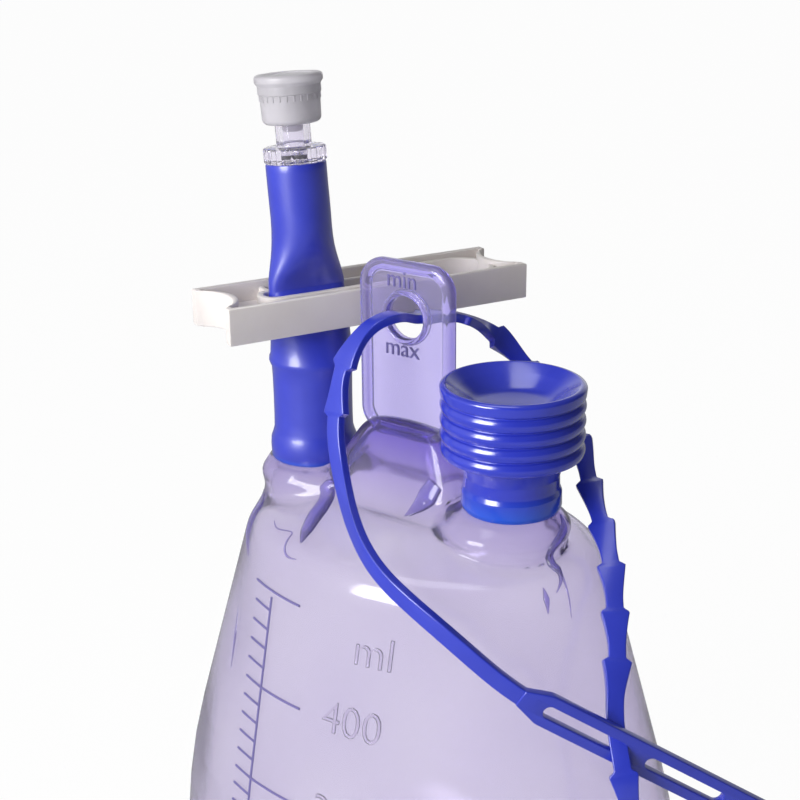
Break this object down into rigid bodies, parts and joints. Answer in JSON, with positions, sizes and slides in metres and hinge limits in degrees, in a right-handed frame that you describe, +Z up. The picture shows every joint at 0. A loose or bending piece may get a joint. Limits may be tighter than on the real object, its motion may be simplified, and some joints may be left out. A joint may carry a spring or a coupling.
{
  "type": "closed wound drainage system",
  "caption": "Oval clear suction bottle with soft inlet sleeve, slide clamp, capped connector, vacuum bellows and toothed hanging strap, for draining a surgical wound.",
  "frame": {"origin": "centre of the bottle's base, on the surface it stands on", "axes": "+Z up; +X from the inlet neck to the bellows neck; -Y is the broad face with the volume scale"},
  "size_m": [0.1396, 0.0871, 0.1836],
  "materials": {
    "clear_bottle": "clear lilac tinted, glossy",
    "blue_sleeve": "soft, glossy royal blue",
    "white_clamp": "satin warm white",
    "clear_connector": "clear, glossy",
    "milky_cap": "translucent milky white",
    "blue_bellows": "soft, glossy royal blue",
    "blue_strap": "smooth royal blue"
  },
  "bodies": {
    "bottle_body": {"bottle": "clear_bottle", "inlet_sleeve": "blue_sleeve", "connector": "clear_connector", "hanging_strap": "blue_strap"},
    "clamp": {"slide_clamp": "white_clamp"},
    "cap": {"connector_cap": "milky_cap"},
    "vacuum_indicator": {"bellows": "blue_bellows"}
  },
  "joints": [
    {"name": "clamp_slide", "type": "slide", "parent": "bottle_body", "child": "clamp", "axis": [-0.4035, -0.915, 0], "range_m": [0, 0.031]},
    {"name": "cap_lift", "type": "slide", "parent": "bottle_body", "child": "cap", "axis": [-0.0767, 0, 0.9971], "range_m": [0, 0.012]},
    {"name": "vacuum_loss", "type": "slide", "parent": "bottle_body", "child": "vacuum_indicator", "axis": [0, 0, 1], "range_m": [0, 0.0145], "deforming": ["bellows"]}
  ]
}
